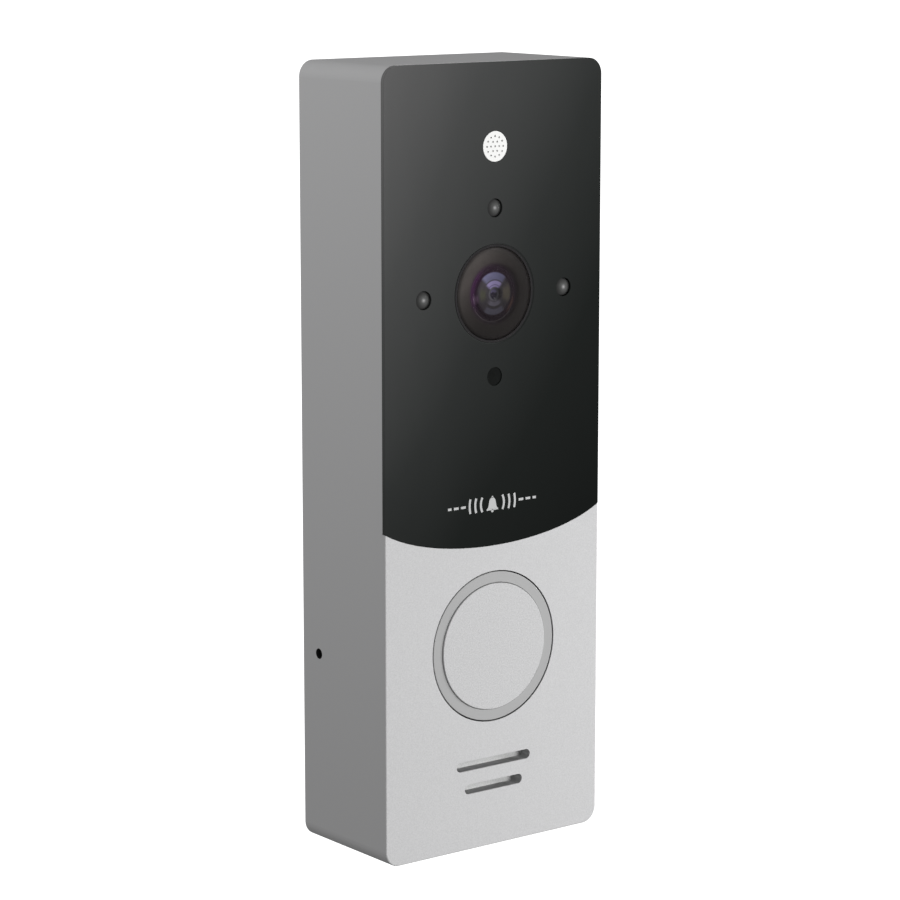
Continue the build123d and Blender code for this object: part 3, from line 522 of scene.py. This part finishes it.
def optics_finish():
    """Rings of coating colour on near black, overlaid with painted reflections in arcs of violet, blue and
    amber, and a painted sheen brighter towards the upper left.
    """
    finish = Finish("lens_coatings_and_reflections", (0.02, 0.02, 0.03), 0.25)
    x, _, z = finish.axes()
    u = finish.math("MULTIPLY", finish.math("SUBTRACT", x, PUPIL_X), 1 / MM)
    v = finish.math("MULTIPLY", finish.math("SUBTRACT", z, LENS_Z), 1 / MM)
    radius = finish.length(u, v)
    turn = finish.math("ARCTAN2", v, u)

    def band(value, start, end, soft):
        """1 between start and end, 0 outside, with soft edges."""
        rise = finish.span(value, start - soft, start + soft)
        fall = finish.span(value, end - soft, end + soft, 1.0, 0.0)
        return finish.math("MULTIPLY", rise, fall)

    def arc(inner, outer, middle, half, soft=0.12, soft_turn=0.25):
        """Part of a ring, in millimetres, centred on an angle in degrees from +X towards +Z."""
        offset = finish.math("SUBTRACT", turn, math.radians(middle))
        wrapped = finish.math("ARCTAN2", finish.math("SINE", offset), finish.math("COSINE", offset))
        near = finish.math("ABSOLUTE", wrapped)
        end = math.radians(half)
        sector = finish.span(near, end - soft_turn, end + soft_turn, 1.0, 0.0)
        return finish.math("MULTIPLY", band(radius, inner, outer, soft), sector)

    # painted sheen: the colour rises towards the upper left, as a reflection on the dome would
    upper, left = finish.math("MULTIPLY", v, 0.9), finish.math("MULTIPLY", u, -1.1)
    rise = finish.span(finish.math("ADD", upper, left), -9.0, 9.0, smooth=False)
    lit = finish.math("MULTIPLY_ADD", finish.math("POWER", rise, 3.2), 2.1, 0.42)
    base = finish.ramp(
        finish.span(radius, 0.0, 9.0, smooth=False),
        [
            (0.00, (0.040, 0.037, 0.054)),
            (0.11, (0.040, 0.037, 0.052)),
            (0.17, (0.062, 0.056, 0.064)),
            (0.38, (0.048, 0.041, 0.049)),
            (0.45, (0.018, 0.008, 0.018)),
            (0.57, (0.018, 0.009, 0.018)),
            (0.65, (0.033, 0.028, 0.027)),
            (0.80, (0.035, 0.031, 0.029)),
            (0.92, (0.031, 0.028, 0.027)),
            (0.94, (0.014, 0.012, 0.012)),
        ],
    )
    # painted reflections: arcs standing for lamps reflected in the curved elements, with a few rings of
    # coating colour among them
    painted_reflections = [
        (arc(2.65, 3.95, 90, 42, 0.16, 0.12), (0.135, 0.130, 0.225)),
        (arc(1.15, 2.45, 92, 44, 0.12, 0.15), (0.310, 0.262, 0.475)),
        (arc(1.62, 1.78, 92, 50, 0.08, 0.15), (0.150, 0.120, 0.240)),
        (arc(0.0, 0.70, 90, 180, 0.15), (0.026, 0.021, 0.038)),
        (arc(0.35, 0.95, 90, 70, 0.12), (0.120, 0.105, 0.185)),
        (arc(1.0, 1.35, 90, 180, 0.10), (0.118, 0.112, 0.135)),
        (arc(1.45, 2.2, -90, 42, 0.12), (0.150, 0.138, 0.175)),
        (arc(2.75, 3.8, -90, 36, 0.16, 0.12), (0.110, 0.104, 0.140)),
        (arc(2.0, 3.7, 0, 24, 0.35), (0.125, 0.109, 0.087)),
        (arc(2.0, 3.2, 180, 20, 0.3), (0.070, 0.070, 0.050)),
        (arc(4.0, 5.3, 170, 42, 0.25), (0.024, 0.006, 0.026)),
        (arc(3.6, 4.7, 191, 9, 0.25, 0.12), (0.080, 0.046, 0.082)),
        (arc(4.2, 4.9, -28, 16, 0.25), (0.080, 0.042, 0.036)),
        (arc(4.95, 5.15, -90, 60, 0.08), (0.060, 0.050, 0.055)),
    ]
    colour = base
    for mask, tint in painted_reflections:
        colour = finish.mix(mask, colour, tint)
    streaks = finish.noise(700.0, 3.0)
    streaked_sheen = finish.math("MULTIPLY", finish.span(streaks, 0.3, 0.7, 0.93, 1.07), lit)
    finish.set("Base Color", finish.times(colour, streaked_sheen))
    finish.set("Roughness", finish.span(radius, 4.5, 5.5, 0.18, 0.4))
    return finish


optics = turned_piece("lens_optics", optics_profile(), about_y(Vector((LENS_X, 0, LENS_Z))))
optics.data.materials.append(optics_finish().material)
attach(optics, "panel")


# --- sleeve of the volume pinhole, a black piece standing in for the shade inside it ---------------

def pinhole_shade_sleeve():
    """Black liner of the hole in the left side that leads to the trimmer, put there as painted shade that
    darkens the inside of the hole.
    """
    rotor_low, rotor_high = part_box("trimmer_rotor")
    outer, inner, lip = 0.99 * MM, 0.86 * MM, 0.05 * MM
    start = cad_box[0].x + 0.06 * MM
    end = rotor_low.x - 0.5 * MM
    profile = [
        (inner, end),
        (inner, start + lip),
        (inner + lip, start),
        (outer, start),
        (outer, end),
        (inner, end),
    ]
    made = turned_piece("pinhole_shade_sleeve", profile, about_x((rotor_low + rotor_high) / 2), steps=48)
    made.data.materials.append(moulded("pinhole_shade_black", (0.004, 0.004, 0.004), 0.7).material)
    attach(made, "panel")


pinhole_shade_sleeve()


# --- printed pictogram: a bell with sound waves --------------------------------------------------

PRINT_X = -0.45 * MM                # the print sits a little left of the middle
PRINT_Z = -7.75 * MM                # level of the dashes and of the waves' centre
PRINT_RISE = 0.03 * MM              # height above the window, and depth below it
STROKE = 0.46 * MM                  # line width of the waves and dashes
BELL_LOW = PRINT_Z - 0.95 * MM
BELL_HEIGHT = 2.1 * MM
BELL_RIM_HALF_WIDTH = 1.35 * MM
BELL_RIM = (BELL_LOW - 0.30 * MM, BELL_LOW - 0.02 * MM)         # lower and upper edge
CLAPPER = (BELL_LOW - 0.44 * MM, 0.28 * MM)                     # level and radius
KNOB = (BELL_LOW + BELL_HEIGHT + 0.08 * MM, 0.20 * MM)
WAVE_RADII = (2.7 * MM, 4.0 * MM, 5.3 * MM)
WAVE_HALF_HEIGHT = 1.35 * MM
DASHES = ((6.2 * MM, 7.3 * MM), (7.85 * MM, 8.95 * MM), (9.5 * MM, 10.3 * MM))


def add_strip(mesh, left, right, closed=False):
    """Raised strip between two rows of (x, z) points on the window's face."""
    front_y = FRONT_Y - PRINT_RISE
    back_y = FRONT_Y + PRINT_RISE
    rows = []
    for line in (left, right):
        for y in (front_y, back_y):
            rows.append([mesh.verts.new((x, y, z)) for x, z in line])
    left_front, left_back, right_front, right_back = rows
    around = [left_front, right_front, right_back, left_back]
    count = len(left)
    last = count if closed else count - 1
    for first, second in zip(around, around[1:] + around[:1]):
        for step in range(last):
            after = (step + 1) % count
            mesh.faces.new((first[step], first[after], second[after], second[step]))
    if not closed:
        for end in (0, -1):
            mesh.faces.new([row[end] for row in around])


def add_bar(mesh, start, end, low, high):
    """Plain bar between two X and two Z limits."""
    add_strip(mesh, [(start, low), (start, high)], [(end, low), (end, high)])


def add_dot(mesh, level, radius):
    """Round dot on the middle line of the bell, with a pinprick at its centre."""
    turns = [2 * math.pi * step / 32 for step in range(32)]
    rims = []
    for r in (radius, 0.02 * radius):
        rims.append([(r * math.cos(turn), level + r * math.sin(turn)) for turn in turns])
    add_strip(mesh, *rims, closed=True)


def add_wave(mesh, radius, side):
    """Sound wave: an arc centred on the bell, cut to a height."""
    steps = 24
    half_turn = math.asin(WAVE_HALF_HEIGHT / radius)
    turns = [half_turn * (2 * step / steps - 1) for step in range(steps + 1)]
    lines = []
    for r in (radius - STROKE / 2, radius + STROKE / 2):
        lines.append([(side * r * math.cos(turn), PRINT_Z + r * math.sin(turn)) for turn in turns])
    add_strip(mesh, *lines)


def bell_half_width(level):
    """Half width of the bell at a level from 0, the rim, to 1, the crown, in millimetres."""
    flare = 0.42 * (1 - level) ** 6
    crown = math.sqrt(max(0.0, 1 - max(0.0, (level - 0.35) / 0.65) ** 2))
    return 0.78 * crown + 0.06 + flare


def pictogram():
    """Bell between sound waves and dashes, printed low on the window."""
    mesh = bmesh.new()
    steps = 28
    levels = [step / steps for step in range(steps + 1)]
    sides = []
    for side in (-1, 1):
        sides.append([(side * bell_half_width(t) * MM, BELL_LOW + t * BELL_HEIGHT) for t in levels])
    add_strip(mesh, *sides)
    add_bar(mesh, -BELL_RIM_HALF_WIDTH, BELL_RIM_HALF_WIDTH, *BELL_RIM)
    add_dot(mesh, *CLAPPER)
    add_dot(mesh, *KNOB)
    for side in (-1, 1):
        for radius in WAVE_RADII:
            add_wave(mesh, radius, side)
        for near, far in DASHES:
            add_bar(mesh, side * near, side * far, PRINT_Z - STROKE / 2, PRINT_Z + STROKE / 2)
    bmesh.ops.translate(mesh, verts=mesh.verts, vec=(PRINT_X, 0, 0))
    bmesh.ops.recalc_face_normals(mesh, faces=mesh.faces)
    made = finished("bell_pictogram", mesh, smooth=False)
    pale_grey = (0.47, 0.475, 0.475)
    ink = moulded("printed_ink", pale_grey, 0.5, grain=4000.0, depth=0.004, variation=0.05)
    made.data.materials.append(ink.material)
    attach(made, "panel")


pictogram()


# --- studio: sweep, world and lights ---------------------------------------------------------------

FLOOR_Z = -0.62
SWEEP_RADIUS = 3.2
SWEEP_BEND = 0.8
SWEEP_TOP = 3.0


def studio_sweep():
    """Pale floor that curves up into a round backdrop. Only the camera sees it."""
    flat_radius = SWEEP_RADIUS - SWEEP_BEND
    bend_steps = 8
    profile = [(0, FLOOR_Z), (1.0, FLOOR_Z), (flat_radius, FLOOR_Z)]
    for step in range(1, bend_steps + 1):
        turn = math.pi / 2 * step / bend_steps
        out = flat_radius + SWEEP_BEND * math.sin(turn)
        profile.append((out, FLOOR_Z + SWEEP_BEND * (1 - math.cos(turn))))
    profile.append((SWEEP_RADIUS, SWEEP_TOP))
    profile.append((0, SWEEP_TOP))
    made = turned_piece("studio_sweep", profile, about_y(Vector((0, 0, 0))), steps=48)
    made.rotation_euler = (math.pi / 2, 0, 0)
    finish = Finish("studio_white", (1.0, 1.0, 1.0), 0.9)
    finish.set("Emission Color", (1.0, 1.0, 1.0, 1.0))
    finish.set("Emission Strength", 1.1)
    made.data.materials.append(finish.material)
    for kind in ("diffuse", "glossy", "transmission", "volume_scatter", "shadow"):
        setattr(made, "visible_" + kind, False)


def soft_light(name, azimuth, elevation, distance, side, radiance, aim=(0, 0, 0), gloss=False):
    """Square area light that faces the panel, given by its radiance. Gloss lets it show in reflections."""
    a, e = math.radians(azimuth), math.radians(elevation)
    back = Vector((math.sin(a) * math.cos(e), -math.cos(a) * math.cos(e), math.sin(e)))
    data = bpy.data.lights.new(name, "AREA")
    data.shape = "SQUARE"
    data.size = side
    data.energy = math.pi * radiance * side ** 2
    light = bpy.data.objects.new(name, data)
    light.location = Vector(aim) + back * distance
    light.rotation_mode = "QUATERNION"
    light.rotation_quaternion = (-back).to_track_quat("-Z", "Y")
    light.visible_glossy = gloss
    bpy.context.scene.collection.objects.link(light)


def studio_world():
    """Grey surroundings, brightest at the height of the panel."""
    world = bpy.data.worlds.new("studio")
    bpy.context.scene.world = world
    world.use_nodes = True
    nodes, links = world.node_tree.nodes, world.node_tree.links
    background = nodes["Background"]
    where = nodes.new("ShaderNodeTexCoord").outputs["Generated"]
    split = nodes.new("ShaderNodeSeparateXYZ")
    links.new(where, split.inputs[0])
    height = nodes.new("ShaderNodeMapRange")
    height.inputs["From Min"].default_value = -1.0
    links.new(split.outputs["Z"], height.inputs["Value"])
    ramp = nodes.new("ShaderNodeValToRGB")
    links.new(height.outputs["Result"], ramp.inputs["Fac"])
    stops = [(0.0, 0.16), (0.46, 0.26), (0.55, 0.30), (0.75, 0.18), (1.0, 0.15)]
    elements = ramp.color_ramp.elements
    while len(elements) < len(stops):
        elements.new(1.0)
    for element, (position, level) in zip(elements, stops):
        element.position = position
        element.color = (level, level, level, 1.0)
    links.new(ramp.outputs["Color"], background.inputs["Color"])
    background.inputs["Strength"].default_value = 1.0


studio_sweep()
studio_world()
soft_light("key", 21, 6, 1.2, 0.50, 12.5)
soft_light("right_fill", 62, 5, 0.45, 0.12, 37.0)
soft_light("left_top_fill", -100, 35, 0.30, 0.20, 3.1, aim=(0, -0.012, 0.07))
soft_light("glint", 54, 42, 1.0, 0.06, 30.0, gloss=True)

# --- camera: from the left and a little above, aimed at the middle of the panel --------------------

CAMERA_PLACE = Vector((-0.34733, -0.46223, 0.10230))
CAMERA_AIM = Vector((-0.000147, -0.012738, 0.000309))
FOCAL_LENGTH = 123.7
SENSOR_WIDTH = 36.0

scene = bpy.context.scene
scene.view_settings.view_transform = "Standard"
scene.view_settings.look = "None"

camera_data = bpy.data.cameras.new("camera")
camera_data.lens = FOCAL_LENGTH
camera_data.sensor_width = SENSOR_WIDTH
camera_data.clip_start = 0.01
camera_data.clip_end = 20.0
camera = bpy.data.objects.new("camera", camera_data)
camera.location = CAMERA_PLACE
camera.rotation_mode = "QUATERNION"
camera.rotation_quaternion = (CAMERA_AIM - CAMERA_PLACE).to_track_quat("-Z", "Y")
scene.collection.objects.link(camera)
scene.camera = camera
